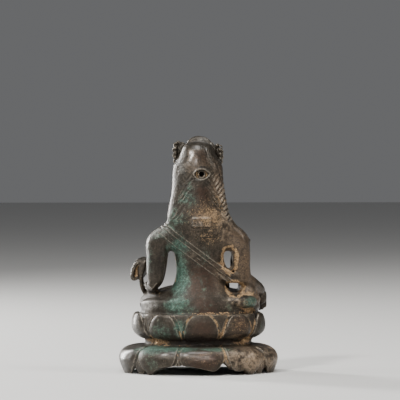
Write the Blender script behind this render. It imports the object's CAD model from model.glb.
# Seated bronze figure on a double lotus base: the looks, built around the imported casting.
import math

import bpy
import numpy as np
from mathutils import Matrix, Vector, noise
from mathutils.bvhtree import BVHTree


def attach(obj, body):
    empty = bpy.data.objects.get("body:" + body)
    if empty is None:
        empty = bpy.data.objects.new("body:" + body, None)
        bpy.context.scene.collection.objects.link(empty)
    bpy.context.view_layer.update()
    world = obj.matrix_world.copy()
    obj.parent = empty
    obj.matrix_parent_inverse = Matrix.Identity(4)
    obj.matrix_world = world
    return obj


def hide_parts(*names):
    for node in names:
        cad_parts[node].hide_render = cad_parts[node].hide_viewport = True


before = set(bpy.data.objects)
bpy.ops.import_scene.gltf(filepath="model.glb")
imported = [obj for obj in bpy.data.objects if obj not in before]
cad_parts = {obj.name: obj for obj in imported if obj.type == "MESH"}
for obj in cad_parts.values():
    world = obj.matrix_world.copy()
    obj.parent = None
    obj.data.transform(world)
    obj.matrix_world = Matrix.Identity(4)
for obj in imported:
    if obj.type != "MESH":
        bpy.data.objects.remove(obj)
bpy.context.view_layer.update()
mm = 0.001

stand = {
    "width": 64.8, "depth": 49.6,  # over the crests of the lower petals
    "lowerHeight": 12.2, "upperHeight": 10.8, "upperWidth": 54.6, "waistWidth": 41.0, "neckRadius": 21.5,
    "petals": 10, "bulge": 1.9, "thickness": 2.6, "tipRise": 0.9, "smallSetBack": 0.75, "smallLift": 0.7,
    "coreSetBack": 2.0, "upperSetBack": 1.1, "lowerSetBack": 1.3, "coreRimLift": 2.2,
    "wall": 1.7, "neckWall": 3.2, "roof": 2.6,
    # outlines from the waist to the tip, as (share of the flare, share of the height)
    "lowerCurve": ((0.05, 0.92), (0.46, 0.89), (0.82, 0.77), (0.98, 0.56), (1.0, 0.34), (0.90, -0.03)),
    "upperCurve": ((0.0, 0.10), (0.45, 0.18), (0.87, 0.35), (1.0, 0.55), (0.99, 0.78), (0.93, 0.95),
                   (0.86, 1.0)),
    # half widths from root to tip, as shares of half a petal's step
    "lowerWidths": (0.72, 0.89, 0.945, 0.95, 0.91, 0.76, 0.38),
    "upperWidths": (0.78, 0.89, 0.88, 0.80, 0.66, 0.43, 0.13),
    "smallWidths": (0.08, 0.14, 0.22, 0.34, 0.45, 0.42, 0.18),
    # the broken rim at the back: angle from the back towards the left hand, height that is lost
    "broken": ((-38, 0.0), (-34, 2.4), (-30, 1.5), (-26, 1.6), (-22, 3.4), (-17, 5.3), (-13, 2.9), (-9, 1.7),
               (-2, 2.5), (6, 3.5), (12, 4.2), (22, 3.7), (31, 3.1), (37, 1.4), (40, 0.0)),
}
seatHeight = stand["lowerHeight"] + stand["upperHeight"]
oval = stand["depth"] / stand["width"]

fusing = {"voxel": 0.30, "bodySmooth": 10, "finalSmooth": 1, "faces": 190000}


# small tools used by every part
def deselectAll():
    if bpy.context.object and bpy.context.object.mode != "OBJECT":
        bpy.ops.object.mode_set(mode="OBJECT")
    bpy.ops.object.select_all(action="DESELECT")


def pick(*forms):
    deselectAll()
    for form in forms:
        form.select_set(True)
    bpy.context.view_layer.objects.active = forms[0]
    return forms[0]


def editAll():
    bpy.ops.object.mode_set(mode="EDIT")
    bpy.ops.mesh.select_all(action="SELECT")


def placed():  # the form just made, with its place, turn and size applied
    bpy.ops.object.transform_apply(location=True, rotation=True, scale=True)
    return bpy.context.active_object


def smoothPath(points, count):  # a Catmull-Rom run through the points
    last = len(points) - 1
    path = []
    for i in range(count):
        t = last * i / (count - 1)
        k = min(int(t), last - 1)
        f = t - k
        a, b, c, d = points[max(k - 1, 0)], points[k], points[k + 1], points[min(k + 2, last)]
        path.append(tuple(0.5 * (2 * q + (r - p) * f + (2 * p - 5 * q + 4 * r - s) * f * f
                                 + (3 * q - p - 3 * r + s) * f ** 3) for p, q, r, s in zip(a, b, c, d)))
    return path


def at(place):  # figure millimetres over the seat, to metres in the frame
    return Vector((place[0], place[1], place[2] + seatHeight)) * mm


def cleanSkin(form):
    pick(form)
    editAll()
    bpy.ops.mesh.remove_doubles(threshold=1e-6)
    bpy.ops.mesh.normals_make_consistent(inside=False)
    bpy.ops.object.mode_set(mode="OBJECT")
    return form


def egg(centre, halves, turn=(0, 0, 0), detail=32):
    deselectAll()
    bpy.ops.mesh.primitive_uv_sphere_add(
        segments=detail, ring_count=detail // 2, radius=mm, location=at(centre),
        rotation=[math.radians(a) for a in turn], scale=halves)
    return placed()


def drawUp(rings, sides=64):  # a closed outline extruded up through (centre, half width, half depth) rings
    deselectAll()
    centre, halfWidth, halfDepth = rings[0]
    bpy.ops.mesh.primitive_circle_add(vertices=sides, radius=mm, fill_type="NGON", location=centre)
    editAll()
    bpy.ops.transform.resize(value=(halfWidth, halfDepth, 1), center_override=centre)
    for (low, w0, d0), (high, w1, d1) in zip(rings, rings[1:]):
        bpy.ops.mesh.extrude_region_move(TRANSFORM_OT_translate={"value": high - low})
        bpy.ops.transform.resize(value=(w1 / w0, d1 / d0, 1), center_override=high)
    bpy.ops.object.mode_set(mode="OBJECT")
    return cleanSkin(placed())


def bodyForm(sections, rings, middle=0.0):  # sections are (height, half width, front, back)
    return drawUp([(at((middle, (front + back) / 2, z)), half, (back - front) / 2)
                   for z, half, front, back in smoothPath(sections, rings)])


def tube(points, rings=24, flat=None):  # points are (x, y, z, radius); flat is (axis, share)
    path = [list(p) for p in smoothPath(points, rings)]
    for end, inner in ((0, 1), (-1, -2)):  # rounded ends
        tip = Vector(path[end][:3])
        out = (tip - Vector(path[inner][:3])).normalized()
        r = path[end][3]
        caps = [[*(tip + out * r * reach), r * swell]
                for reach, swell in ((0.45, 0.88), (0.78, 0.62), (0.96, 0.28))]
        path = caps[::-1] + path if end == 0 else path + caps
    if flat:
        axis, share = flat
        middle = sum(p[axis] for p in path) / len(path)
        for p in path:
            p[axis] = middle + (p[axis] - middle) / share
    deselectAll()
    bpy.ops.curve.primitive_nurbs_path_add(radius=mm)
    form = bpy.context.active_object
    curve = form.data
    curve.splines.clear()
    spline = curve.splines.new("POLY")
    spline.points.add(len(path) - 1)
    for knot, (x, y, z, r) in zip(spline.points, path):
        knot.co = (*at((x, y, z)), 1)
        knot.radius = max(r, 0.02)
    curve.dimensions = "3D"
    curve.bevel_depth = mm
    curve.bevel_resolution = 5
    curve.use_fill_caps = True
    bpy.ops.object.convert(target="MESH")
    if flat:
        squeeze = [1, 1, 1]
        squeeze[axis] = share
        pivot = [0, 0, 0]
        pivot[axis] = middle
        editAll()
        bpy.ops.transform.resize(value=squeeze, center_override=at(pivot) if axis == 2 else Vector(pivot) * mm)
        bpy.ops.object.mode_set(mode="OBJECT")
    return cleanSkin(bpy.context.active_object)


def joinForms(name, forms):
    whole = pick(*forms)
    bpy.ops.object.join()
    whole.name = name
    whole.data.name = name
    return whole


def applied(form, kind, **settings):
    pick(form)
    modifier = form.modifiers.new(kind.lower(), kind)
    for key, value in settings.items():
        setattr(modifier, key, value)
    bpy.ops.object.modifier_apply(modifier=modifier.name)
    return form


def fuse(name, forms, smoothing):  # overlapping closed forms become one skin
    whole = joinForms(name, forms)
    applied(whole, "REMESH", mode="VOXEL", voxel_size=fusing["voxel"] * mm)
    if smoothing:
        applied(whole, "SMOOTH", iterations=smoothing)
    return whole


def copyTurned(form, degrees):  # a copy with its own mesh, turned about the upright axis
    pick(form)
    bpy.ops.object.duplicate()
    bpy.context.active_object.rotation_euler.z = -math.radians(degrees)
    return placed()


# the double lotus base
def petalRun(row, share):  # half width of the stand and height, in mm
    curve = smoothPath(stand[row + "Curve"], 61)
    flare, height = curve[min(round(60 * share), 60)]
    waist = stand["waistWidth"] / 2
    full = stand["width" if row == "lower" else "upperWidth"] / 2 - stand["bulge"]
    radius = waist + flare * (full - waist)
    if row == "lower":
        return radius, height * stand["lowerHeight"]
    return radius, stand["lowerHeight"] + height * (stand["upperHeight"] + stand["tipRise"])


def makePetal(row, widths, bulge, setBack, lift):
    across, along = 17, 27
    deselectAll()
    bpy.ops.mesh.primitive_grid_add(x_subdivisions=across - 1, y_subdivisions=along - 1, size=mm)
    form = bpy.context.active_object
    spread = smoothPath([(w,) for w in stand[widths]], along)
    for vertex in form.data.vertices:  # the flat grid is pulled into a petal over the back
        u = 2 * vertex.co.x / mm
        share = vertex.co.y / mm + 0.5
        radius, z = petalRun(row, share)
        half = math.radians(180 / stand["petals"]) * spread[min(round(share * (along - 1)), along - 1)][0]
        crown = bulge * math.sin(math.pi * (0.10 + 0.78 * share)) ** 0.5 * (0.35 + 0.65 * (1 - abs(u) ** 4))
        r = radius - setBack + crown
        vertex.co = Vector((r * math.sin(u * half), r * math.cos(u * half), z + lift * share ** 3)) * mm
    cleanSkin(form)
    middle = form.data.polygons[len(form.data.polygons) // 2]
    if middle.normal.y < 0:
        form.data.flip_normals()
    return applied(form, "SOLIDIFY", thickness=stand["thickness"] * mm, offset=-1)


def ringStack(profile, sides=120):
    return drawUp([(Vector((0, 0, z * mm)), r, r) for r, z in profile], sides)


def makeStand():
    count = stand["petals"]
    step = 360 / count
    lower = [petalRun("lower", i / 8) for i in range(7)]
    upper = [petalRun("upper", i / 8) for i in range(8)]
    profile = [(r - stand["lowerSetBack"], z) for r, z in lower[::-1]]
    profile += [(stand["neckRadius"], stand["lowerHeight"] + rise) for rise in (-0.5, 0.9)]
    profile += [(r - stand["upperSetBack"], z) for r, z in upper]
    profile = [(profile[0][0], stand["coreRimLift"])] + profile + [(profile[-1][0], seatHeight)]
    forms = [ringStack([p for i, p in enumerate(profile) if i == 0 or p[1] > profile[i - 1][1]])]
    rows = (
        ("lower", "lowerWidths", stand["bulge"], 0, 0, 0),
        ("lower", "smallWidths", stand["bulge"] / 2, stand["smallSetBack"], stand["smallLift"], 0.5),
        ("upper", "upperWidths", stand["bulge"], 0, 0, 0),
        ("upper", "smallWidths", stand["bulge"] / 2, stand["smallSetBack"], 0, 0.5),
    )
    for row, widths, bulge, setBack, lift, shift in rows:
        first = makePetal(row, widths, bulge, setBack, lift)
        forms += [copyTurned(first, (k + shift) * step) for k in range(count)]
        bpy.data.objects.remove(first)
    whole = joinForms("standForms", forms)
    whole.scale.y = oval
    return placed()


print("stage: lotus base")
standForms = makeStand()

# the figure, in millimetres over the seat: height, half width, front, back
trunk = {
    "torso": ((3.0, 19.5, -5.5, 14.6), (6.5, 17.2, -4.8, 14.0), (9.0, 13.2, -3.8, 12.9),
              (12.0, 10.5, -2.8, 11.9), (16.0, 9.2, -2.2, 10.9), (20.0, 9.2, -2.2, 10.8),
              (24.0, 9.9, -2.6, 11.0), (28.0, 11.2, -3.2, 11.3), (32.0, 12.2, -3.4, 11.5),
              (36.0, 11.8, -2.8, 11.4), (38.5, 9.5, -1.6, 10.4), (40.5, 6.0, -0.8, 9.0)),
    "shoulders": ((25.6, 13.2, -0.6, 8.6), (27.6, 18.0, -0.9, 9.4), (29.6, 20.6, -0.9, 9.9),
                  (31.6, 19.0, -0.8, 10.4), (33.6, 17.0, -0.5, 10.9), (35.6, 15.1, 0.2, 11.3),
                  (37.6, 13.5, 1.0, 11.5), (39.6, 12.2, 2.0, 11.4)),
    "lap": ((-0.8, 22.8, -14.0, 14.2), (0.8, 23.2, -14.4, 14.6), (3.0, 23.3, -14.0, 14.6),
            (4.9, 23.3, -12.4, 14.3), (5.8, 22.6, -10.4, 14.0), (6.3, 20.6, -8.6, 13.7),
            (7.0, 17.2, -7.0, 13.2), (7.8, 13.6, -5.0, 12.5)),
}
hair = {
    "fall": ((28.0, 8.6, 5.6, 10.4), (32.0, 11.2, 5.0, 11.3), (36.0, 12.6, 3.4, 11.9),
             (39.0, 12.6, 2.0, 11.9), (42.0, 12.0, 0.4, 11.5), (46.0, 11.3, -1.0, 10.9),
             (50.0, 10.7, -2.6, 10.2), (54.0, 10.3, -4.2, 9.4), (57.5, 10.15, -5.4, 8.9),
             (60.0, 9.9, -6.2, 8.5), (61.6, 8.7, -6.2, 8.1), (63.5, 7.5, -5.6, 7.5),
             (66.0, 6.7, -4.8, 6.4), (68.0, 5.6, -3.8, 4.8), (69.2, 3.6, -2.6, 3.0), (69.7, 1.6, -1.4, 1.4)),
    "middle": 0.3,
}


def makeBulk():
    forms = [
        bodyForm(trunk["torso"], 30),
        bodyForm(trunk["shoulders"], 22, middle=-0.4),
        bodyForm(trunk["lap"], 18, middle=-0.3),
        bodyForm(hair["fall"], 44, middle=hair["middle"]),
        tube(((0.2, 2.5, 36.0, 5.0), (0.2, 1.2, 41.0, 4.6), (0.2, -0.2, 46.0, 4.7)), 8),
        egg((0, -1.5, 15.0), (7.0, 2.6, 5.5)),
        egg((4.6, -2.2, 30.5), (4.6, 2.4, 4.0)),
        egg((-4.6, -2.2, 30.5), (4.6, 2.4, 4.0)),
        # metal left between the right forearm and the thigh, and behind the right knee
        egg((-19.8, 2.8, 9.0), (3.4, 4.4, 3.4)),
        egg((-15.5, 6.8, 5.6), (7.8, 6.4, 3.4)),
        egg((-21.0, -0.5, 3.2), (3.9, 9.0, 3.0)),
        egg((-22.6, 1.2, 6.2), (2.4, 4.8, 2.8)),
        # the inner side of the right arm and the thigh, seen dark through the two openings
        egg((-15.0, 0.6, 20.9), (2.4, 1.1, 5.4)),
        egg((-13.0, -3.5, 8.0), (5.4, 4.0, 2.4)),
        egg((-10.2, -1.0, 11.0), (2.5, 2.6, 3.2)),
        egg((-18.3, -2.0, 11.5), (2.3, 3.0, 3.4)),
        tube(((13.2, 5.0, 31.8, 4.2), (16.4, 4.6, 29.2, 4.7), (16.7, 4.3, 24.0, 4.5), (17.2, 4.1, 17.5, 4.0),
              (17.6, 3.9, 13.6, 3.2), (18.2, 3.6, 11.2, 1.9))),
        tube(((18.0, 3.4, 12.8, 2.5), (18.6, -1.6, 10.8, 2.5), (18.6, -7.0, 9.8, 1.9))),
        tube(((-13.2, 5.0, 32.4, 4.2), (-15.9, 4.6, 29.4, 4.4), (-16.8, 4.4, 24.0, 3.9),
              (-17.3, 4.6, 18.5, 3.4), (-17.9, 4.4, 14.8, 3.2))),
        tube(((-17.9, 4.2, 14.6, 3.1), (-21.6, 0.6, 12.2, 2.9), (-25.3, -4.6, 9.6, 2.2))),
        # shins
        tube(((18.7, -7.6, 4.2, 4.6), (11.0, -13.4, 3.6, 3.9), (-1.0, -15.4, 3.8, 3.3),
              (-8.5, -12.6, 6.4, 2.5))),
        tube(((-19.8, -7.6, 4.2, 4.6), (-12.0, -12.6, 4.6, 3.9), (-1.0, -12.4, 7.6, 3.2),
              (6.5, -9.8, 9.0, 2.4))),
    ]
    for side, knee in ((1, 18.9), (-1, 20.0)):
        thigh = ((side * 8.0, 4.5, 6.0, 5.6), (side * 14.5, -0.5, 5.2, 5.0), (side * knee, -6.5, 4.3, 4.7))
        forms.append(tube(thigh, 16, flat=(2, 0.92)))
    return fuse("bulk", forms, fusing["bodySmooth"])


print("stage: body")
bulk = makeBulk()

face = {"middle": 0.2, "eye": (3.0, -7.5, 53.9), "cheek": (3.5, -6.2, 50.6)}


def makeHead():
    x = face["middle"]
    forms = [
        egg((x, -1.6, 53.4), (7.3, 7.4, 8.8), detail=48),
        egg((x, -3.6, 49.6), (5.7, 4.8, 5.0), detail=48),
        egg((x, -7.3, 46.4), (2.0, 1.4, 1.4)),
        tube(((x, -8.4, 55.6, 0.55), (x, -9.0, 53.0, 0.75), (x, -9.4, 51.0, 1.0)), 8),
        egg((x, -8.8, 50.7), (1.6, 0.8, 0.7)),
        tube(((x - 1.9, -8.1, 48.9, 0.35), (x, -8.9, 49.2, 0.6), (x + 1.9, -8.1, 48.9, 0.35)), 9),
        tube(((x - 1.4, -8.1, 48.2, 0.4), (x, -8.8, 47.9, 0.6), (x + 1.4, -8.1, 48.2, 0.4)), 9),
    ]
    for side in (1, -1):
        ex, ey, ez = face["eye"]
        ear = x + side * 7.3
        forms.append(egg((x + side * ex, ey, ez), (1.8, 1.1, 0.95)))
        forms.append(tube(((x + side * (ex - 1.8), ey - 0.75, ez - 0.1, 0.22),
                           (x + side * ex, ey - 1.1, ez - 0.55, 0.25),
                           (x + side * (ex + 1.8), ey - 0.2, ez - 0.1, 0.2)), 9))
        forms.append(egg((x + side * face["cheek"][0], *face["cheek"][1:]), (2.4, 2.0, 2.4)))
        forms.append(tube(((x + side * 0.8, -8.7, 55.8, 0.45), (x + side * ex, -8.3, 56.9, 0.5),
                           (x + side * 5.4, -6.4, 55.6, 0.35)), 12))
        forms.append(tube(((ear, -2.4, 56.5, 1.3), (ear + side * 0.7, -2.6, 53.0, 1.25),
                           (ear + side * 0.3, -2.6, 48.5, 1.3)), 14, flat=(0, 0.8)))
        forms.append(egg((ear + side * 0.4, -3.0, 46.3), (1.7, 1.3, 1.8)))
        forms.append(egg((ear + side * 0.6, -4.2, 46.3), (0.7, 0.5, 0.7), detail=16))
    return forms


crown = {
    "plate": (-0.7, -5.6, 65.2), "beads": 9, "bead": 1.1, "curl": 0.95, "curlStep": 2.15,
    # middle of each rosette and its half height, for the left and the right
    "rosettes": ((1, (7.6, -3.0, 64.9), 4.0), (-1, (-7.5, -3.0, 64.2), 3.6)),
}


def makeCurl(centre, side):  # a small open scroll at the back rim of a rosette
    x, y, z = centre
    points = []
    for k in range(9):
        turn = math.radians(125 - 32 * k)
        reach = crown["curl"] * (1 - 0.045 * k)
        points.append((x + side * reach * math.cos(turn) * 0.9, y - 0.35 * reach * math.cos(turn),
                       z + reach * math.sin(turn), 0.40))
    return tube(points, 20)


def makeCrown():
    x, y, z = crown["plate"]
    forms = [
        tube(((-7.4, -1.0, 60.2, 0.9), (-5.6, -6.2, 60.4, 1.0), (0.2, -8.4, 60.6, 1.1), (6.0, -6.2, 60.4, 1.0),
              (7.8, -1.0, 60.2, 0.9)), 30),
        egg((x, y, z), (6.3, 1.9, 6.6), (6, 0, 0), 48),
        egg((x, y - 0.1, z + 3.0), (5.2, 1.7, 3.7), (6, 0, 0), 48),
        egg((x, y - 2.4, z - 0.6), (1.5, 0.9, 2.2)),
        tube(((x - 5.0, y - 1.4, z - 3.6, 0.5), (x - 5.4, y - 1.0, z + 0.6, 0.5),
              (x - 3.6, y - 0.4, z + 5.0, 0.5), (x, y, z + 6.0, 0.6), (x + 3.6, y - 0.4, z + 5.0, 0.5),
              (x + 5.4, y - 1.0, z + 0.6, 0.5), (x + 5.0, y - 1.4, z - 3.6, 0.5)), 40),
    ]
    for k in range(11):  # small beads on the band
        turn = math.radians(-70 + 14 * k)
        spot = (hair["middle"] + 8.2 * math.sin(turn), -1.4 - 7.6 * math.cos(turn), 59.4)
        forms.append(egg(spot, (0.62,) * 3, detail=12))
    for side, place, half in crown["rosettes"]:
        middle = Vector(place)
        out = Vector((side * 0.62, -0.78, 0)).normalized()
        across = Vector((-out.y, out.x, 0)) * side
        facing = math.degrees(math.atan2(across.y, across.x))
        forms.append(egg(middle, (2.5, 1.2, half * 0.92), (0, 0, facing)))
        for k in range(crown["beads"]):  # beads round the front of the rosette
            turn = 2 * math.pi * k / crown["beads"]
            if math.cos(turn) < 0.45:
                spot = middle + across * 3.0 * math.cos(turn) + Vector((0, 0, half * math.sin(turn)))
                forms.append(egg(spot, (crown["bead"],) * 3, detail=20))
        for ring, size in ((0.6, 0.95), (1.3, 0.6)):
            forms.append(egg(middle + out * ring, (1.9 * size, 1.2, 1.9 * size), (0, 0, facing), 24))
        for k in range(4):
            up = (k - 1.5) * crown["curlStep"] * half / 4.0
            spot = middle + across * (2.35 - 0.05 * up * up) + Vector((0, 0.5, up))
            forms.append(makeCurl(spot, side))
        flap = ((5.0, -1.0, 62.5, 1.1), (6.4, -0.6, 66.0, 1.1), (5.8, -1.6, 68.4, 0.9))
        forms.append(tube([(hair["middle"] + side * away, *rest) for away, *rest in flap], 12, flat=(1, 0.6)))
    return forms


def makeHands():
    forms = [egg((-25.9, -7.2, 6.8), (2.5, 1.7, 3.4), (14, 0, 0)), egg((18.6, -9.2, 10.6), (2.2, 2.5, 1.9))]
    for k, reach in enumerate((2.3, 3.2, 3.5, 2.8)):
        x = -27.7 + 1.15 * k
        forms.append(tube(((x, -8.0, 5.4, 0.76), (x - 0.1, -8.5, 4.9 - reach * 0.45, 0.70),
                           (x - 0.1, -8.4, 4.9 - reach, 0.60)), 8))
        z = 12.0 - 1.05 * k
        forms.append(tube(((20.2, -9.4, z, 0.76), (21.4, -11.2, z, 0.68), (19.8, -12.2, z - 0.2, 0.62)), 10))
    forms.append(tube(((-24.1, -8.0, 7.6, 0.8), (-23.1, -9.0, 5.8, 0.7), (-23.2, -9.4, 4.4, 0.58)), 8))
    forms.append(tube(((17.4, -10.4, 12.0, 0.8), (18.0, -12.0, 12.8, 0.72), (19.4, -12.6, 12.4, 0.6)), 10))
    return forms


blossom = {
    "bud": (22.2, -5.6, 18.4), "lean": -22,
    # outer petals: place, half sizes, lean, then the hollow's shift and half sizes
    "petals": (((24.2, -6.4, 17.9), (2.6, 2.4, 5.1), -24, (-0.3, 2.0, -0.5), (1.75, 1.7, 3.9)),
               ((22.6, -8.4, 18.2), (2.9, 1.9, 4.9), -16, (0.0, -1.6, 0.8), (2.0, 1.3, 3.6))),
}


def makeBlossom():
    x, y, z = blossom["bud"]
    forms = [
        tube(((18.8, -9.6, 6.6, 0.9), (20.9, -8.4, 8.0, 0.9), (22.3, -6.8, 10.6, 0.95), (22.7, -5.8, 13.4, 1.0),
              (22.9, -5.8, 15.6, 1.1)), 18),
        egg((x, y, z), (1.9, 2.0, 4.4), (0, blossom["lean"] * 0.6, 0)),
        egg((x - 0.2, y + 1.6, z - 0.2), (1.0, 0.8, 3.7), (0, blossom["lean"] * 0.6, 0), 24),
    ]
    for centre, halves, lean, shift, hollow in blossom["petals"]:
        petal = egg(centre, halves, (0, lean, 0), 40)
        cutter = egg([a + b for a, b in zip(centre, shift)], hollow, (0, lean, 0), 32)
        applied(petal, "BOOLEAN", operation="DIFFERENCE", object=cutter, solver="MANIFOLD")
        bpy.data.objects.remove(cutter)
        forms.append(petal)
    return forms


def makeFeetAndFolds():
    forms = [
        tube(((4.6, -10.4, 9.6, 2.2), (9.6, -9.6, 9.9, 2.5), (14.2, -8.4, 9.0, 2.1)), 14, flat=(2, 0.6)),
        tube(((-6.6, -12.4, 8.0, 2.2), (-11.2, -10.4, 9.1, 2.5), (-15.6, -8.2, 8.5, 2.1)), 14, flat=(2, 0.6)),
    ]
    for k in range(5):
        lift = 0.35 * (2 - abs(k - 2))
        forms.append(egg((15.6 + lift, -10.0 + 0.9 * k, 8.9), (1.0, 0.55, 0.65), detail=16))
        forms.append(egg((-16.8 - lift, -9.8 + 0.9 * k, 8.4), (1.0, 0.55, 0.65), detail=16))
        x = -5.2 + 2.6 * k
        forms.append(tube(((x * 0.45, -16.6, 3.4, 1.1), (x * 0.8, -17.8, 1.6, 1.25), (x, -18.0, 0.2, 1.1)), 8))
    for side in (1, -1):
        for k in range(4):
            x = side * (6.6 + 3.2 * k)
            y = -15.9 + 0.40 * k + 0.30 * k * k
            fold = ((x - side * 0.6, y + 4.6, 8.6 - 0.2 * k, 0.4), (x + side * 0.5, y + 0.9, 7.2, 0.5),
                    (x + side * 0.9, y - 0.9, 3.6, 0.5), (x + side * 0.4, y - 0.4, 1.0, 0.35))
            forms.append(tube(fold, 14))
    return forms


sash = {
    "slope": 0.77, "lines": (20.4, 22.2, 24.0, 26.1), "depths": (0.26, 0.10, 0.25, 0.23), "lineWidth": 0.30,
    "proud": 0.26, "reach": (-14.0, 17.5),
}


def makeSashWeb():  # the strip of sash that runs free from the side to the right elbow
    return [tube(((-6.0, 8.4, 18.6 + shift * 2.0, 1.0), (-9.2, 7.8, 16.4 + shift * 1.2, 1.2),
                  (-12.6, 7.0, 15.1 + shift * 0.8, 1.35), (-16.8, 6.0, 15.0 + shift * 0.8, 1.5)), 16)
            for shift in (-1, 1)]


def makeMouthRim():  # the uneven thickened rim of the opening between the body and the right arm
    points = []
    for turn in range(20, 341, 32):
        across, up = math.sin(math.radians(turn)), math.cos(math.radians(turn))
        thick = 0.75 - 0.30 * up + 0.12 * math.sin(3.1 * turn)
        points.append((-11.7 + 2.6 * across, 6.4 + 0.5 * up, 22.6 + 4.7 * up, thick))
    return [tube(points, 40)]


def wristRing(centre, radius, turnX, turnY):
    deselectAll()
    bpy.ops.mesh.primitive_torus_add(
        major_radius=radius * mm, minor_radius=0.6 * mm, major_segments=32, minor_segments=10,
        location=at(centre), rotation=(math.radians(turnX), math.radians(turnY), 0))
    return placed()


def makeOrnaments():
    forms = [
        tube(((-7.0, -0.2, 37.6, 0.6), (-5.0, -3.6, 34.6, 0.65), (0, -5.0, 32.6, 0.75), (5.0, -3.6, 34.6, 0.65),
              (7.0, -0.2, 37.6, 0.6)), 26),
        egg((0, -5.1, 31.6), (1.3, 0.8, 1.5), detail=20),
        wristRing((18.4, -5.8, 10.7), 2.05, 84, 0),
        wristRing((-23.8, -3.0, 10.5), 2.4, 62, -32),
    ]
    for side in (1, -1):
        x = hair["middle"]
        forms.append(tube(((x + side * 8.8, -0.6, 49.0, 1.3), (x + side * 9.8, -0.8, 43.0, 1.9),
                           (x + side * 10.3, -1.0, 37.6, 1.9), (side * 10.8, -2.2, 32.6, 1.0)), 18))
    return forms


# fixings of the lost halo
halo = {
    "socket": (-0.8, 8.6, 56.4), "socketLean": -9, "socketSize": (6.8, 4.6), "hole": (2.1, 2.4, 4.5),
    "lug": (-0.5, 11.5, 37.4), "lugLean": -7, "lugSize": (8.0, 4.0, 1.3), "lugCorner": 1.3, "lugBevel": 0.7,
}


def makeLug():
    width, height, reach = halo["lugSize"]
    deselectAll()
    bpy.ops.mesh.primitive_cube_add(size=mm, location=at(halo["lug"]), scale=(width, 2 * reach, height),
                                    rotation=(math.radians(halo["lugLean"]), 0, 0))
    return [applied(placed(), "BEVEL", width=halo["lugBevel"] * mm, segments=3)]


print("stage: head, crown, hands, dress")
figureForms = makeHead() + makeCrown() + makeHands() + makeBlossom() + makeFeetAndFolds()
figureForms += makeSashWeb() + makeMouthRim() + makeOrnaments() + makeLug()
statue = fuse("maitreyaBronze", [bulk] + figureForms + [standForms], 0)


# what is cut out of the casting
def makeHollow():
    inset = stand["coreSetBack"] + stand["wall"]
    neck = stand["waistWidth"] / 2 - stand["neckWall"]
    roof = seatHeight - stand["roof"]
    profile = [(r - inset, z) for r, z in (petalRun("lower", i / 8) for i in range(8, 2, -1))]
    profile = [(profile[0][0], -5.0)] + profile
    profile += [(neck, stand["lowerHeight"] - stand["wall"] * 0.6), (neck * 0.96, roof * 0.82),
                (neck * 0.80, roof * 0.95), (neck * 0.40, roof)]
    hollow = ringStack(profile, 96)
    hollow.scale.y = oval
    return placed()


def makeBrokenRim():  # a strip under the back rim, raised to the broken edge
    deselectAll()
    bpy.ops.mesh.primitive_grid_add(x_subdivisions=120, y_subdivisions=4, size=mm)
    strip = bpy.context.active_object
    angles, heights = zip(*stand["broken"])
    for vertex in strip.data.vertices:
        angle = angles[0] + (angles[-1] - angles[0]) * (vertex.co.x / mm + 0.5)
        radius = stand["width"] * (0.47 + 0.18 * vertex.co.y / mm)
        height = float(np.interp(angle, angles, heights))
        wobble = noise.fractal(Vector((angle * 0.35, vertex.co.y / mm * 2, 3.1)), 1.0, 2.0, 3)
        height += 0.28 * wobble * min(1, height)
        turn = math.radians(angle)
        vertex.co = Vector((radius * math.sin(turn), radius * oval * math.cos(turn), height)) * mm
    editAll()
    bpy.ops.mesh.extrude_region_move(TRANSFORM_OT_translate={"value": (0, 0, -10 * mm)})
    bpy.ops.object.mode_set(mode="OBJECT")
    return cleanSkin(strip)


def makeCutters():
    hollow = makeHollow()
    deselectAll()
    bpy.ops.mesh.primitive_cube_add(size=mm, location=(0, 0, -10 * mm), scale=(200, 200, 20))
    ground = placed()
    broken = makeBrokenRim()
    width, height, depth = halo["hole"]
    lean = math.radians(halo["socketLean"])
    deselectAll()
    bpy.ops.mesh.primitive_cylinder_add(
        vertices=32, radius=0.5 * mm, depth=mm, location=at(halo["socket"]),
        rotation=(lean + math.pi / 2, 0, 0), scale=(width, height, 2 * depth))
    return [hollow, ground, broken, placed()]


print("stage: hollow base, broken rim, socket")
for cutter in makeCutters():
    applied(statue, "BOOLEAN", operation="DIFFERENCE", object=cutter, solver="MANIFOLD")
    bpy.data.objects.remove(cutter)
applied(statue, "REMESH", mode="VOXEL", voxel_size=fusing["voxel"] * mm)
applied(statue, "SMOOTH", iterations=fusing["finalSmooth"])


# chisel work, worn skin and crust, moved vertex by vertex on the fused mesh
def readPoints(mesh):
    points = np.empty(len(mesh.vertices) * 3, np.float32)
    mesh.vertices.foreach_get("co", points)
    normals = np.empty(len(mesh.vertices) * 3, np.float32)
    mesh.vertices.foreach_get("normal", normals)
    return points.reshape(-1, 3).astype(float) * 1000, normals.reshape(-1, 3).astype(float)


def movePoints(mesh, points, normals, push):
    points = points + normals * push[:, None]
    points[:, 2] = np.maximum(points[:, 2], 0)
    mesh.vertices.foreach_set("co", (points / 1000).astype(np.float32).ravel())
    mesh.update()


def cloud(points, size, octaves, shift=0.0):  # noise about 0, one value per point
    return np.array([noise.fractal(Vector(p), 1.0, 2.0, octaves) for p in points / size + shift])


def ramp(values, low, high):
    t = np.clip((values - low) / (high - low), 0, 1)
    return t * t * (3 - 2 * t)


def bell(values, width):
    return np.exp(-(values / width) ** 2)


def strokes(phase, sharp):  # 1 on each stroke, 0 between
    return bell(1 - np.abs((phase - np.floor(phase)) - 0.5) * 2, sharp)


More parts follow.
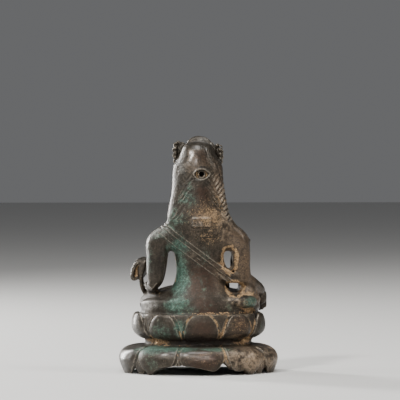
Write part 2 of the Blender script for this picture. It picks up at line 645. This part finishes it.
class Neighbours:  # averages over the edges of a mesh
    def __init__(self, mesh):
        edges = np.empty(len(mesh.edges) * 2, np.int32)
        mesh.edges.foreach_get("vertices", edges)
        a, b = edges.reshape(-1, 2).T
        self.one, self.two = np.concatenate([a, b]), np.concatenate([b, a])
        self.size = len(mesh.vertices)
        self.degree = np.maximum(np.bincount(self.one, minlength=self.size), 1)

    def soften(self, values, times):
        columns = values.reshape(self.size, -1).T.copy()
        for _ in range(times):
            for k, column in enumerate(columns):
                near = np.bincount(self.one, column[self.two], self.size) / self.degree
                columns[k] = 0.5 * column + 0.5 * near
        return columns.T.reshape(values.shape)


def hollowness(points, normals, near, times):  # above 0 in hollows, below 0 on crests, in mm
    return ((near.soften(points, times) - points) * normals).sum(1)


comb = {
    "pitch": 2.3, "braid": (6.1, 52.4, 0.37),  # the braid's middle: distance out, at height, spread
    "outerSlope": 1.15, "innerSlope": 1.2, "outerDepth": 0.48, "innerDepth": 0.28, "leftShares": (0.15, 1.0),
}


def hairRelief(x, high, facing, wave):  # a herringbone of strokes on each side of the fall of hair
    away = np.abs(x - hair["middle"])
    out, level, spread = comb["braid"]
    centre = out + (level - high) * spread
    area = ramp(facing, -0.15, 0.25) * ramp(high, 36.5, 39.5) * (1 - ramp(high, 54.5, 58.5))
    outer = ramp(away - centre, -0.25, 0.35)
    inner = (1 - outer) * ramp(away - centre, -5.2, -2.2)
    sides = [np.where(x < hair["middle"], 1.0, share) * (0.8 + 0.7 * wave) for share in comb["leftShares"]]
    bend = 0.35 * wave
    rising = strokes((high - comb["outerSlope"] * away) / comb["pitch"] + bend, 0.40)
    falling = strokes((high + comb["innerSlope"] * away) / comb["pitch"] + bend, 0.34)
    push = -area * (sides[0] * comb["outerDepth"] * outer * (rising - 0.3)
                    + sides[1] * comb["innerDepth"] * inner * (falling - 0.2))
    edge = np.interp(high, [40.0, 53.0, 58.0, 62.5], [11.4, 9.4, 8.3, 6.8])  # where the hair turns to the side
    on = ramp(high, 51.0, 54.0) * (1 - ramp(high, 61.5, 63.0)) * ramp(facing, -0.35, 0.1)
    return push - 0.30 * on * bell(away - edge, 0.36) * np.where(x < hair["middle"], 1.0, 0.2)


def sashRelief(x, high, facing):  # two ribbons with raised lines, from the left shoulder to the right hip
    along = high - sash["slope"] * x
    low, top = sash["lines"][0], sash["lines"][-1]
    left, right = sash["reach"]
    on = ramp(x, left, left + 2.5) * (1 - ramp(x, right - 2.0, right)) * (1 - ramp(high, 38.5, 41.0))
    on = on * ramp(high, 10.0, 12.5)
    ribbon = ramp(along, low - 0.35, low + 0.15) * (1 - ramp(along, top - 0.15, top + 0.35))
    dip = bell(along - (sash["lines"][2] - 0.75), 0.38) + bell(along - (top - 0.75), 0.34)
    push = sash["proud"] * ribbon - 0.20 * dip
    for line, depth in zip(sash["lines"], sash["depths"]):
        push = push + depth * bell(along - line, sash["lineWidth"])
    return push * on


def armRelief(x, y, high, normals):  # long flats on the left arm and a pointed flat at its elbow
    on = ramp(x, 13.2, 14.5) * ramp(high, 11.5, 14.0) * (1 - ramp(high, 27.5, 31.0)) * ramp(y, -1.0, 2.0)
    turn = np.degrees(np.arctan2(normals[:, 0], normals[:, 1]))
    push = on * (0.36 * bell(turn - 44, 15) + 0.42 * bell(turn + 38, 14) - 0.10 * bell(turn - 4, 22))
    tip = np.zeros(len(x))
    for start, end in (((20.5, 12.9), (18.7, 10.7)), ((17.2, 12.9), (18.7, 10.7))):
        run = np.array(end) - np.array(start)
        t = np.clip(((x - start[0]) * run[0] + (high - start[1]) * run[1]) / (run @ run), 0, 1)
        away = np.hypot(x - start[0] - t * run[0], high - start[1] - t * run[1])
        tip = np.maximum(tip, bell(away, 0.38))
    return push + 0.50 * tip * ramp(normals[:, 1], -0.1, 0.3) * ramp(y, 2.0, 3.5)


petalCut = {"lip": 0.17, "lipWidth": 0.30, "groove": 0.30, "grooveWidth": 0.34, "smallLip": 0.16}


def petalRelief(x, y, z, normals):  # raised edges and the fine grooves round every petal
    radius, turn = np.hypot(x, y / oval), np.degrees(np.arctan2(x, y / oval))
    radial = np.stack([x, y / oval ** 2], 1) / np.maximum(np.hypot(x, y / oval ** 2), 1e-6)[:, None]
    facing = (normals[:, :2] * radial).sum(1)
    step, waist = 360 / stand["petals"], stand["waistWidth"] / 2
    lip, wide, groove, gap, smallLip = petalCut.values()
    push, seam = np.zeros(len(x)), np.zeros(len(x))
    run = np.linspace(0, 1, 41)
    rows = (("lower", 0.0, stand["lowerHeight"] - 0.5), ("upper", stand["lowerHeight"] + 0.4, seatHeight + 0.8))
    for row, low, high in rows:
        heights = np.array([petalRun(row, share)[1] for share in run])
        order = np.argsort(heights)
        share = np.interp(z, heights[order], run[order])
        on = ramp(z, low - 0.3, low + 0.3) * (1 - ramp(z, high - 0.3, high + 0.3))
        on = on * ramp(facing, -0.1, 0.25) * ramp(radius, waist, waist + 1.5)
        spread = np.array(smoothPath([(w,) for w in stand[row + "Widths"]], 41))[:, 0]
        half = np.interp(share, run, spread) * step / 2
        off = np.abs((turn / step + 0.5) % 1 - 0.5) * step
        main = np.radians(half - off) * radius
        tip = (0.985 - share) * 11.0  # the edge of a tip runs level
        if row == "upper":
            main = np.minimum(main, tip)
        cut = lip * bell(main - 0.5, wide) - groove * bell(main + 0.35, gap)
        small = np.minimum(-main - 0.75, tip - 0.1)  # the small petals show between the large ones
        cut = cut + ramp(small, -0.6, -0.2) * (smallLip * bell(small - 0.35, wide * 0.8) + 0.10)
        push = push + on * cut
        seam = np.maximum(seam, on * np.maximum(bell(main + 0.20, 0.50), (row == "upper") * bell(small, 0.45)))
    return push, seam


def socketRelief(x, high, facing):  # an eye-shaped lip round a shallow recess
    across, up = x - halo["socket"][0], high - halo["socket"][2]
    width, height = halo["socketSize"]
    inside = (1 - (np.abs(up) / (height / 2)) ** 1.35 - (across / (width / 2)) ** 2) / 0.52
    near = ramp(facing, 0.2, 0.5) * (np.hypot(across, up) < 8)
    return near * (0.34 * bell(inside - 0.1, 0.36) - 0.85 * ramp(inside, 0.35, 1.0))


crust = {"height": 0.42, "pit": 0.05, "wave": 0.10}


def storeLayer(mesh, name, values):
    layer = mesh.attributes.new(name, "FLOAT", "POINT")
    layer.data.foreach_set("value", values.astype(np.float32))


def readLayer(mesh, name):
    values = np.empty(len(mesh.vertices), np.float32)
    mesh.attributes[name].data.foreach_get("value", values)
    return values


def carve(mesh):
    points, normals = readPoints(mesh)
    near = Neighbours(mesh)
    x, y, z = points.T
    high, facing = z - seatHeight, normals[:, 1]
    wave, fine = cloud(points, 5.0, 2), cloud(points, 0.9, 3, 7.0)
    combed = hairRelief(x, high, facing, wave)
    push = crust["wave"] * wave + combed + armRelief(x, y, high, normals)
    push += sashRelief(x, high, facing) * ramp(high, 9.0, 11.0)
    petals, seam = petalRelief(x, y, z, normals)
    push += petals + socketRelief(x, high, facing)
    deep = hollowness(points, normals, near, 24)
    seams = bell(high - 0.8, 1.8) + bell(z - stand["lowerHeight"], 1.5)
    lumps = np.clip(0.50 + 0.9 * fine, 0, 1)
    push += crust["height"] * ramp(deep, 0.04, 0.28) * lumps * np.clip(0.30 + seams, 0, 1)
    push -= crust["pit"] * ramp(-fine, 0.1, 0.6)
    movePoints(mesh, points, normals, push)
    points, normals = readPoints(mesh)
    for name, times in (("fineHollow", 5), ("wideHollow", 40)):
        storeLayer(mesh, name, hollowness(points, normals, near, times))
    storeLayer(mesh, "seam", seam)
    storeLayer(mesh, "combed", combed)


print("stage: chisel work and crust")
carve(statue.data)
statue.data.calc_loop_triangles()
print("carved triangles:", len(statue.data.loop_triangles))
if len(statue.data.loop_triangles) > fusing["faces"]:
    applied(statue, "DECIMATE", ratio=fusing["faces"] / len(statue.data.loop_triangles))


# what each point of the mesh sees: rays sent out, how far they reach and how far off the skin they start
sky = {"reach": 9.0, "rays": 10, "lift": 0.12}


def openness(mesh, points, normals):  # share of the sky that a point sees
    rays = sky["rays"]
    tree = BVHTree.FromPolygons([v.co for v in mesh.vertices], [tuple(p.vertices) for p in mesh.polygons])
    golden = math.pi * (3 - math.sqrt(5))
    fan = []
    for k in range(rays):
        out = math.sqrt((k + 0.5) / rays)
        fan.append((out * math.cos(k * golden), out * math.sin(k * golden), math.sqrt(1 - (k + 0.5) / rays)))
    seen = np.ones(len(points))
    for i, (p, n) in enumerate(zip(points / 1000, normals)):
        up = Vector(n)
        side = up.orthogonal().normalized()
        over = up.cross(side)
        start = Vector(p) + up * sky["lift"] * mm
        free = 0
        for a, b, c in fan:
            free += tree.ray_cast(start, side * a + over * b + up * c, sky["reach"] * mm)[0] is None
        seen[i] = free / rays
    return seen


def patch(points, spots):  # soft round patches
    total = np.zeros(len(points))
    for *place, strength in spots:
        d = (((points - np.array(place[:3])) / np.array(place[3:])) ** 2).sum(1)
        total = np.maximum(total, strength * np.exp(-d * 1.2))
    return total


# where each finish lies: middle and half sizes in millimetres from the middle of the foot, then strength;
# the back of the figure is towards +y
zones = {
    "green": ((6.5, 11, 72, 5, 7, 7, 0.5), (3, 11, 69, 4, 7, 4, 0.45), (9.5, 10, 60, 6, 8, 7, 0.52),
        (8, 9, 82, 4, 7, 5, 0.25), (15, 8, 55, 6, 7, 4, 0.55), (10, 11, 49, 6, 8, 6, 0.85),
        (8, 10, 38, 4.5, 8, 11, 1.15), (8, 11, 50, 5, 7, 4, 0.8), (-1, 12, 40, 9, 6, 15, 0.36),
        (-3, 14, 28, 7, 6, 4, 0.36), (21, 9, 46, 3.5, 6, 9, 0.5), (9, 13, 28, 8, 7, 5, 0.8),
        (4, 13, 26, 5, 6, 3, 0.7), (-12, 13, 27, 5, 6, 3, 0.55), (-20.5, 10, 28.3, 4, 6, 3, 1),
        (8.5, 19, 18, 3.2, 6, 4.5, 1), (16, 16, 17, 7, 8, 5, 0.65), (18, 14, 9.8, 9, 9, 2.4, 0.9),
        (10, 20, 10.2, 12, 8, 1.4, 0.9), (-6, 22, 10.3, 9, 8, 1, 0.8), (18, 14, 5, 5, 9, 5, 0.6),
        (-27, 6, 18, 5, 9, 6, 0.35), (6, -8, 66, 8, 6, 8, 0.45), (-8, -10, 40, 10, 8, 10, 0.5),
        (12, -14, 30, 10, 8, 6, 0.7), (-16, -20, 10, 12, 8, 6, 0.7), (20, -12, 18, 10, 8, 6, 0.5),
        (2, -20, 6, 10, 8, 5, 0.5)),
    "red": ((0, 10, 87, 6, 6, 5, 0.7), (-1, 11, 72, 5, 6, 7, 0.75), (-0.5, 11, 37, 7.5, 6, 10, 1.15),
        (-4, 11, 46, 8, 6, 6, 0.35), (-1, 14, 27, 8, 6, 5, 1), (0, 22, 18.5, 7, 6, 5, 0.8),
        (-1, 24, 6, 9, 6, 6, 0.9), (-16, 17, 19, 6, 7, 5, 0.75), (3, -12, 45, 9, 6, 8, 0.6)),
    "brown": ((-8, 9, 75, 5, 8, 9, 0.8), (-3, 12, 63, 8, 6, 6, 0.8), (1, 9, 85, 7, 7, 6, 0.6),
        (-7, 9, 86, 4, 6, 6, 0.5), (-15, 8, 54, 9, 8, 7, 0.9), (-19, 5, 42, 6, 9, 12, 1),
        (-8, 11, 40, 6, 8, 10, 0.6), (-24, 2, 30, 7, 9, 6, 0.8), (-17, 17, 19, 8, 8, 5, 0.6),
        (-19, 15, 6, 9, 9, 6, 1), (-29, 4, 6, 6, 10, 7, 0.9), (12, 6, 42, 2.5, 5, 8, 0.6),
        (-14, -12, 60, 12, 8, 12, 0.5), (-20, -14, 22, 10, 8, 10, 0.6)),
    "dust": ((-18, 18, 6, 13, 16, 6, 0.85), (-28, 5, 7, 7, 14, 6, 0.85), (0, 23, 7, 10, 6, 3, 0.4),
        (-10, 9, 60, 5, 7, 9, 0.55), (-3, 12, 58, 7, 6, 4, 0.45), (-14, 13, 28, 5.5, 6, 3, 0.85),
        (3, 11, 47, 6, 6, 4, 0.3), (-22, 5, 31, 5, 7, 4, 0.45), (-16, 17, 18, 6, 7, 4, 0.35),
        (14, 17, 5, 7, 7, 4, 0.25), (-11, 8, 70, 4, 7, 8, 0.45), (23, -6, 38, 4, 6, 6, 0.4),
        (0, -15, 40, 20, 10, 30, 0.25)),
    "soot": ((-2, 20, 12.9, 12.5, 9, 1.9, 1.6), (-0.8, 9.5, 82.3, 3.2, 3, 0.7, 0.8),
        (2, 20, 14.6, 9, 9, 1.2, 0.7), (-13.6, 1.5, 44, 2.6, 3.5, 5.5, 1.2), (-13, -3, 32, 7, 4.5, 4, 1.3),
        (15.5, 8, 45, 2.2, 5, 9, 0.55), (17, -2, 31, 6, 5, 4, 0.5)),
    "tan": ((-0.5, 13.6, 61.6, 4.6, 1.8, 0.9, 1.3), (-20.8, 7, 31.6, 6, 8, 2, 1.3),
        (-20, 10, 25.2, 7, 8, 1.5, 1.2), (18.5, 5, 31.2, 3.5, 5, 1.4, 1.3), (-25, 2, 29, 2.2, 6, 5, 1.2),
        (19, 12, 12.9, 6, 9, 1.7, 1.4), (-19, 12, 13, 7, 9, 1.9, 1.5), (-9, 19, 24.2, 14, 8, 0.9, 1.2),
        (-11.5, 7, 44, 3, 6, 7, 0.95), (-13, 9, 33, 5.5, 7, 4.2, 1), (-19, 12, 25.5, 8, 8, 2.4, 1),
        (-6, 15, 24.4, 14, 7, 1.2, 0.95), (-27, 0, 19, 3, 9, 5, 0.7), (-22, 12, 20, 3, 6, 5, 0.75),
        (17, 4, 31, 5, 5, 3, 0.9), (24.5, -4, 40, 2.5, 4, 4, 1), (18, 12, 12.7, 10, 9, 1.8, 1.1),
        (-18, 12, 12.9, 10, 9, 2, 1.1), (0, 17, 12.6, 12, 9, 1.6, 0.8), (9, 19, 15.5, 1.6, 5, 2.5, 0.9),
        (-9.5, 17, 17, 1.8, 5, 4.5, 0.8), (-9.3, 22, 7, 1.4, 6, 5, 0.55), (9.3, 22, 7, 1.2, 6, 4, 0.45),
        (-0.8, 9, 79.4, 3.6, 3, 2.6, 0.95), (0, -14, 24.5, 22, 8, 2, 0.85), (0, -18, 12.5, 22, 10, 1.4, 1),
        (13.5, 2, 40, 1.5, 5, 9, 0.6), (-6, 17, 23.6, 15, 6, 1, 1)),
    "speck": ((-4, 12, 62, 9, 6, 7, 0.8), (-4, 12, 54, 7, 6, 4, 0.55), (-9, 9, 68, 5, 7, 9, 0.55),
        (-19, 15, 6, 8, 8, 5, 0.6), (-18, 12, 27, 8, 7, 4, 0.45), (-16, 17, 19, 7, 7, 5, 0.4),
        (-18, 6, 46, 6, 7, 9, 0.3), (-1, 23, 6, 8, 6, 5, 0.3), (0, -15, 40, 20, 10, 30, 0.25)),
    "polish": ((2, 9, 87, 7, 7, 6, 1), (-18, 6, 54, 6, 7, 5, 0.7), (28, 8, 6, 6, 9, 6, 0.9),
        (25, 8, 18, 5, 9, 6, 0.8), (4, 23, 8.5, 22, 9, 3, 0.55), (12, 8, 76, 3, 7, 20, 0.8),
        (22, 6, 44, 3, 7, 12, 0.8), (0, -10, 76, 9, 6, 9, 0.6)),
    "pale": ((20, 8, 27.5, 5, 7, 3.2, 0.95), (26.5, 6, 18.5, 3, 8, 4, 0.35), (8, 7, 83, 4.5, 6, 7, 0.62),
        (-1, 0, 93, 7.5, 8, 4, 1.1), (2.5, 10, 88, 2.2, 4, 2.2, 0.7),
        (-0.5, 13.4, 59.7, 3.6, 1.6, 1.5, 1.05), (-0.8, 9.5, 77.2, 3.2, 3, 0.8, 1),
        (15, 7, 56, 6, 6, 4, 0.75), (16, 16, 8.5, 7, 6, 1.6, 0.45), (-1, 22, 9, 7, 6, 1.6, 0.35),
        (-16, 16, 8, 8, 6, 3, 0.3), (14, 17, 19, 4, 5, 4, 0.25), (-4, 11, 78, 4, 5, 3, 0.15),
        (-4, 10, 85, 2.4, 5, 6, 0.3), (-15.5, 7, 57.5, 3, 5, 2, 0.6), (9.8, 8, 77, 3.2, 5, 6, 0.6),
        (16, 18, 14.5, 8, 6, 1.5, 0.3)),
}


# mouths of the openings seen from the back: middle (across, up), half width, half height, spread, strength
mouths = ((-12.0, 45.3, 2.7, 5.0, 1.7, 1.0), (-14.3, 33.6, 3.3, 2.6, 1.5, 1.0),
          (13.4, 40.8, 3.9, 9.6, 0.8, 0.75))


def mouthEarth(points):
    x, y, z = points.T
    total = np.zeros(len(x))
    for across, up, wide, tall, spread, strength in mouths:
        reach = np.hypot((x - across) / wide, (z - up) / tall)
        off = (reach - 1) * np.hypot(x - across, z - up) / np.maximum(reach, 0.05)
        total = np.maximum(total, strength * bell(off - 0.4, spread) * ramp(y, -2.0, 2.0))
    return total


def lugBorder(x, y, z):  # light rim and dark outline of the lug, each 0 to 1
    width, height, _ = halo["lugSize"]
    corner = halo["lugCorner"]
    across = np.abs(x - halo["lug"][0]) - width / 2 + corner
    up = z - seatHeight - halo["lug"][2]
    rise = np.abs(up) - height / 2 + corner
    off = np.hypot(np.maximum(across, 0), np.maximum(rise, 0)) - corner
    behind = ramp(y, 9.0, 10.5)
    return behind * bell(off + 0.35, 0.45) * (0.65 + 0.2 * up), behind * bell(off - 0.55, 0.55)


# how far the broad and the small noise break up the edges of a mask
breakUp = {"speck": (0, 0.25), "polish": (0, 0.15), "green": (0.22, 0.12), "red": (0.20, 0.15),
           "brown": (0.20, 0)}


def storeMasks(mesh):
    points, normals = readPoints(mesh)
    near = Neighbours(mesh)
    fineHollow, wideHollow, seam, combed = (
        readLayer(mesh, name) for name in ("fineHollow", "wideHollow", "seam", "combed"))
    x, y, z = points.T
    rim, outline = lugBorder(x, y, z)
    seam *= (0.25 + 0.75 * ramp(11.0 - x, 0, 9)) * np.where(z > stand["lowerHeight"], 1.0, 0.55)
    seen = near.soften(openness(mesh, points, normals), 2)
    broad, small, grain = cloud(points, 6.0, 4, 1.0), cloud(points, 1.6, 4, 5.0), cloud(points, 0.7, 3, 9.0)
    hidden = ramp(0.72 - seen, 0.0, 0.45)
    waist = bell(z - stand["lowerHeight"] - 0.6, 1.3) * ramp(0.75 - seen, 0, 0.35)
    pocket = np.clip(ramp(fineHollow, 0.02, 0.09) * 0.8 + ramp(wideHollow, 0.05, 0.5) * 0.9, 0, 1)
    spots = {name: patch(points, rows) for name, rows in zones.items()}
    spots["green"] += 0.15 * pocket
    rims = mouthEarth(points) * (1 - ramp(x - 10.5, 0.0, 1.5) * (z > 31))
    tan = np.maximum(spots["tan"], rims)
    earth = pocket * (0.12 + 1.0 * tan) + 0.50 * hidden * tan + 0.34 * ramp(tan, 0.35, 1.0) + 0.30 * rims
    earth += 0.62 * seam + 0.40 * ramp(tan, 0.90, 1.25)
    masks = {name: spots[name] + wide * broad + fine * small for name, (wide, fine) in breakUp.items()}
    masks["earth"] = ramp(earth + 0.34 * small + 0.22 * grain, 0.42, 0.80)
    masks["pale"] = spots["pale"] * (0.9 + 0.6 * broad) + 0.06 * small + 0.6 * rim * (1 + 1.2 * small)
    masks["wear"] = ramp(-fineHollow + 0.010 * small, 0.030, 0.085) * (1 - hidden) + 7.0 * np.maximum(combed, 0)
    masks["soot"] = (0.6 * waist * (0.6 + 0.9 * broad) + 0.8 * ramp(0.35 - seen, 0.0, 0.3)
                     + spots["soot"] * (1 + 0.8 * small) - 1.9 * np.minimum(combed, 0)
                     + 0.42 * outline * (1 + small))
    masks["dust"] = spots["dust"] * (1 + 0.9 * broad + 0.9 * small) + 0.08 * small
    for name, values in masks.items():
        masks[name] = np.clip(values, 0, 1)
        storeLayer(mesh, name, masks[name])
    print("masks:", {name: round(float(values.mean()), 3) for name, values in masks.items()})


print("stage: finish masks")
storeMasks(statue.data)


# shader wiring
class Wire:  # an output socket that can stand in a sum
    def __init__(self, tree, socket):
        self.tree, self.socket = tree, socket

    def maths(self, operation, first, second=None):
        values = {0: first} if second is None else {0: first, 1: second}
        return self.tree.add("ShaderNodeMath", {"operation": operation}, values)

    def __add__(self, other):
        return self.maths("ADD", self, other)

    def __sub__(self, other):
        return self.maths("SUBTRACT", self, other)

    def __rsub__(self, other):
        return self.maths("SUBTRACT", other, self)

    def __mul__(self, other):
        return self.maths("MULTIPLY", self, other)

    __radd__ = __add__
    __rmul__ = __mul__

    def within(self, low, high):  # 0 below low, 1 above high, eased between
        eased = {"interpolation_type": "SMOOTHSTEP"}
        return self.tree.add("ShaderNodeMapRange", eased, {0: self, 1: low, 2: high})


class Finish:  # one material and its nodes
    def __init__(self, name):
        self.material = bpy.data.materials.new(name)
        self.material.use_nodes = True
        self.nodes = self.material.node_tree.nodes
        self.links = self.material.node_tree.links
        self.shader = self.nodes["Principled BSDF"]

    def put(self, socket, value):
        if isinstance(value, Wire):
            self.links.new(value.socket, socket)
        else:
            socket.default_value = value

    def add(self, kind, settings=None, sockets=None, out=0):
        node = self.nodes.new(kind)
        for key, value in (settings or {}).items():
            setattr(node, key, value)
        for key, value in (sockets or {}).items():
            self.put(node.inputs[key], value)
        return Wire(self, node.outputs[out])

    def blend(self, share, low, high):  # low where share is 0, high where it is 1
        ends = [value if isinstance(value, Wire) else (*value, 1) for value in (low, high)]
        return self.add("ShaderNodeMix", {"data_type": "RGBA"}, {0: share, 6: ends[0], 7: ends[1]}, out=2)

    def field(self, size, detail=4, rough=0.6, **settings):  # noise over the object's own coordinates
        return self.add("ShaderNodeTexNoise", settings, {"Vector": self.place, "Scale": 1 / (size * mm),
                                                        "Detail": detail, "Roughness": rough})


bronzeTones = {
    "base": (0.048, 0.038, 0.027), "deep": (0.016, 0.013, 0.009), "red": (0.040, 0.020, 0.012),
    "dust": (0.29, 0.22, 0.155), "brown": (0.120, 0.082, 0.053),
    "green": (0.028, 0.076, 0.056), "greenPale": (0.13, 0.215, 0.168),
    "tan": (0.400, 0.262, 0.138), "tanDark": (0.135, 0.082, 0.038), "pale": (0.30, 0.29, 0.27),
    "worn": (0.25, 0.215, 0.17), "soot": (0.008, 0.005, 0.003),
}


# the ragged edge of each mask: how much texture it takes, and between which values it shows
raggedEdges = {
    "brown": (0.7, 0.10, 0.90), "dust": (0.8, 0.10, 0.95), "red": (0.9, 0.20, 0.90), "green": (1.1, 0.25, 0.85),
    "pale": (0.7, 0.25, 1.0), "wear": (0.6, 0.30, 1.10), "earth": (0.7, 0.30, 0.62), "soot": (0.6, 0.25, 0.75),
}


def bronzeFinish():
    finish = Finish("oldBronze")
    finish.place = finish.add("ShaderNodeTexCoord", out=3)
    mask = {name: finish.add("ShaderNodeAttribute", {"attribute_name": name}, out=2)
            for name in ("speck", "polish", *raggedEdges)}
    tone = bronzeTones
    broad, middle, fine = finish.field(6.0), finish.field(1.5, 5, 0.65), finish.field(0.45, 4, 0.65)
    cast = (broad * 0.35 + middle * 0.3 + fine * 0.35).within(0.40, 0.60)
    colour = finish.blend(cast, tone["deep"], tone["base"])

    def shown(name, texture=middle):  # a mask with its edge broken up by a texture
        ragged, low, high = raggedEdges[name]
        return (mask[name] + texture * ragged - ragged / 2).within(low, high)

    for name, share in (("brown", 0.9), ("dust", 0.75), ("red", 0.85)):
        colour = finish.blend(shown(name) * share, colour, tone[name])
    verdigris = finish.blend((fine * 0.6 + middle * 0.4).within(0.44, 0.66), tone["green"], tone["greenPale"])
    colour = finish.blend(shown("green") * 0.85, colour, verdigris)
    colour = finish.blend(shown("pale", fine) * 0.75, colour, tone["pale"])
    grain, mottle = finish.field(0.5, 3, 0.7), finish.field(1.1, 4, 0.7)
    colour = finish.blend(grain.within(0.50, 0.66) * 0.60, colour, tone["deep"])
    colour = finish.blend(mottle.within(0.47, 0.60) * 0.60, colour, tone["deep"])
    speck = (fine * 1.6 + mask["speck"] * 0.46 - 0.86).within(0.18, 0.40)
    colour = finish.blend(speck * 0.65, colour, tone["tan"])
    colour = finish.blend(shown("wear", fine) * 0.5, colour, tone["worn"])
    soil = finish.blend((fine * 0.6 + middle * 0.4).within(0.44, 0.59), tone["tanDark"], tone["tan"])
    cover = shown("earth")
    colour = finish.blend(cover * 0.92, colour, soil)
    colour = finish.blend(shown("soot"), colour, tone["soot"])
    finish.put(finish.shader.inputs["Base Color"], colour)
    dull = cover * 0.95 + mask["green"] * 0.5 + mask["soot"] * 0.5
    finish.put(finish.shader.inputs["Metallic"], (0.75 - dull * 0.75).within(0.0, 1.0) * 0.55)
    rough = middle * 0.26 + 0.27 + dull * 0.30
    rough = rough - mask["wear"] * 0.05 - mask["polish"] * 0.14 + mask["soot"] * 0.25
    finish.put(finish.shader.inputs["Roughness"], rough)
    finish.put(finish.shader.inputs["Specular IOR Level"], 0.32)
    finish.put(finish.shader.inputs["Coat Weight"], mask["polish"] * (1 - cover) * 0.7)
    finish.put(finish.shader.inputs["Coat Roughness"], 0.24)
    pits = finish.add("ShaderNodeTexVoronoi", {}, {"Vector": finish.place, "Scale": 1 / (0.9 * mm)})
    height = (fine * 0.9 + middle * 0.9 + pits.within(0.0, 0.35) * 0.4) * (1 - mask["polish"] * 0.65)
    height = height + cover * fine * 1.6
    bump = finish.add("ShaderNodeBump", {}, {"Strength": 0.8, "Distance": 0.16 * mm, "Height": height})
    finish.put(finish.shader.inputs["Normal"], bump)
    return finish.material


print("stage: material")
statue.data.materials.clear()
statue.data.materials.append(bronzeFinish())
pick(statue)
bpy.ops.object.shade_smooth()
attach(statue, "root")
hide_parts("maitreya_statue")

# floor, light and camera
studio = {
    "floor": (0.60, 0.595, 0.58), "sky": (0.70, 0.71, 0.73), "skyPower": 0.20,
    # name: place in metres, size, power, colour, and for a beam its aim in height and its spread in degrees;
    # the back of the figure is +y and the left of the picture is +x
    "lights": {
        "leftStrip": ((0.62, -0.06, 0.18), (0.08, 0.60), 2.2, (1.0, 0.99, 0.97)),
        "backStrip": ((0.48, -0.44, 0.22), (0.08, 0.55), 10.0, (1.0, 0.99, 0.97)),
        "keyBox": ((0.46, 0.50, 0.74), (0.10, 0.10), 8.0, (1.0, 0.985, 0.96)),
        "fillBox": ((0.15, 0.98, 0.40), (0.80, 0.50), 0.6, (1.0, 0.985, 0.96)),
        "frontSpot": ((0.12, 0.84, 0.60), (0.08, 0.08), 2.1, (1.0, 0.99, 0.97)),
        "rightBox": ((-0.75, 0.30, 0.45), (0.12, 0.30), 2.3, (1.0, 0.95, 0.88)),
        "rightSpot": ((-0.50, 0.14, 0.80), (0.08, 0.08), 1.5, (1.0, 0.98, 0.95)),
        "baseSpot": ((-0.12, 0.66, 0.34), (0.05, 0.05), 0.0045, (1.0, 0.97, 0.93), 0.0, 6),
        "topBox": ((0.02, 0.22, 0.92), (0.30, 0.20), 4.6, (1.0, 1.0, 1.0)),
    },
    "cameraTurn": 176.5, "cameraAway": 1.0, "cameraHeight": 0.085, "aim": (-0.00069, 0.0, 0.069), "lens": 223.6,
}


def makeStudio():
    deselectAll()
    bpy.ops.mesh.primitive_plane_add(size=8, location=(0, 0, 0))
    floor = bpy.context.active_object
    floor.name = "floor"
    paper = Finish("paleFloor")
    paper.put(paper.shader.inputs["Base Color"], (*studio["floor"], 1))
    paper.put(paper.shader.inputs["Roughness"], 0.7)
    floor.data.materials.append(paper.material)
    world = bpy.data.worlds.new("studioWorld")
    bpy.context.scene.world = world
    world.use_nodes = True
    world.node_tree.nodes["Background"].inputs["Color"].default_value = (*studio["sky"], 1)
    world.node_tree.nodes["Background"].inputs["Strength"].default_value = studio["skyPower"]
    for name, (place, size, power, colour, *beam) in studio["lights"].items():
        deselectAll()
        bpy.ops.object.light_add(type="AREA", location=place)
        lamp = bpy.context.active_object
        lamp.name = name
        lamp.data.shape = "RECTANGLE"
        lamp.data.size, lamp.data.size_y = size
        lamp.data.energy = power
        lamp.data.color = colour
        target = Vector((0, 0, 0.05))
        if beam:
            target.z, lamp.data.spread = beam[0], math.radians(beam[1])
        lamp.rotation_euler = (target - Vector(place)).to_track_quat("-Z", "Y").to_euler()


def makeCamera():
    turn = math.radians(studio["cameraTurn"])
    away = studio["cameraAway"]
    place = Vector((math.sin(turn) * away, -math.cos(turn) * away, studio["cameraHeight"]))
    deselectAll()
    bpy.ops.object.camera_add(location=place)
    camera = bpy.context.active_object
    camera.rotation_euler = (Vector(studio["aim"]) - place).to_track_quat("-Z", "Y").to_euler()
    camera.data.sensor_width = 36
    camera.data.lens = studio["lens"]
    camera.data.clip_start = 0.01
    bpy.context.scene.camera = camera


print("stage: studio")
makeStudio()
makeCamera()

print("stage: done")
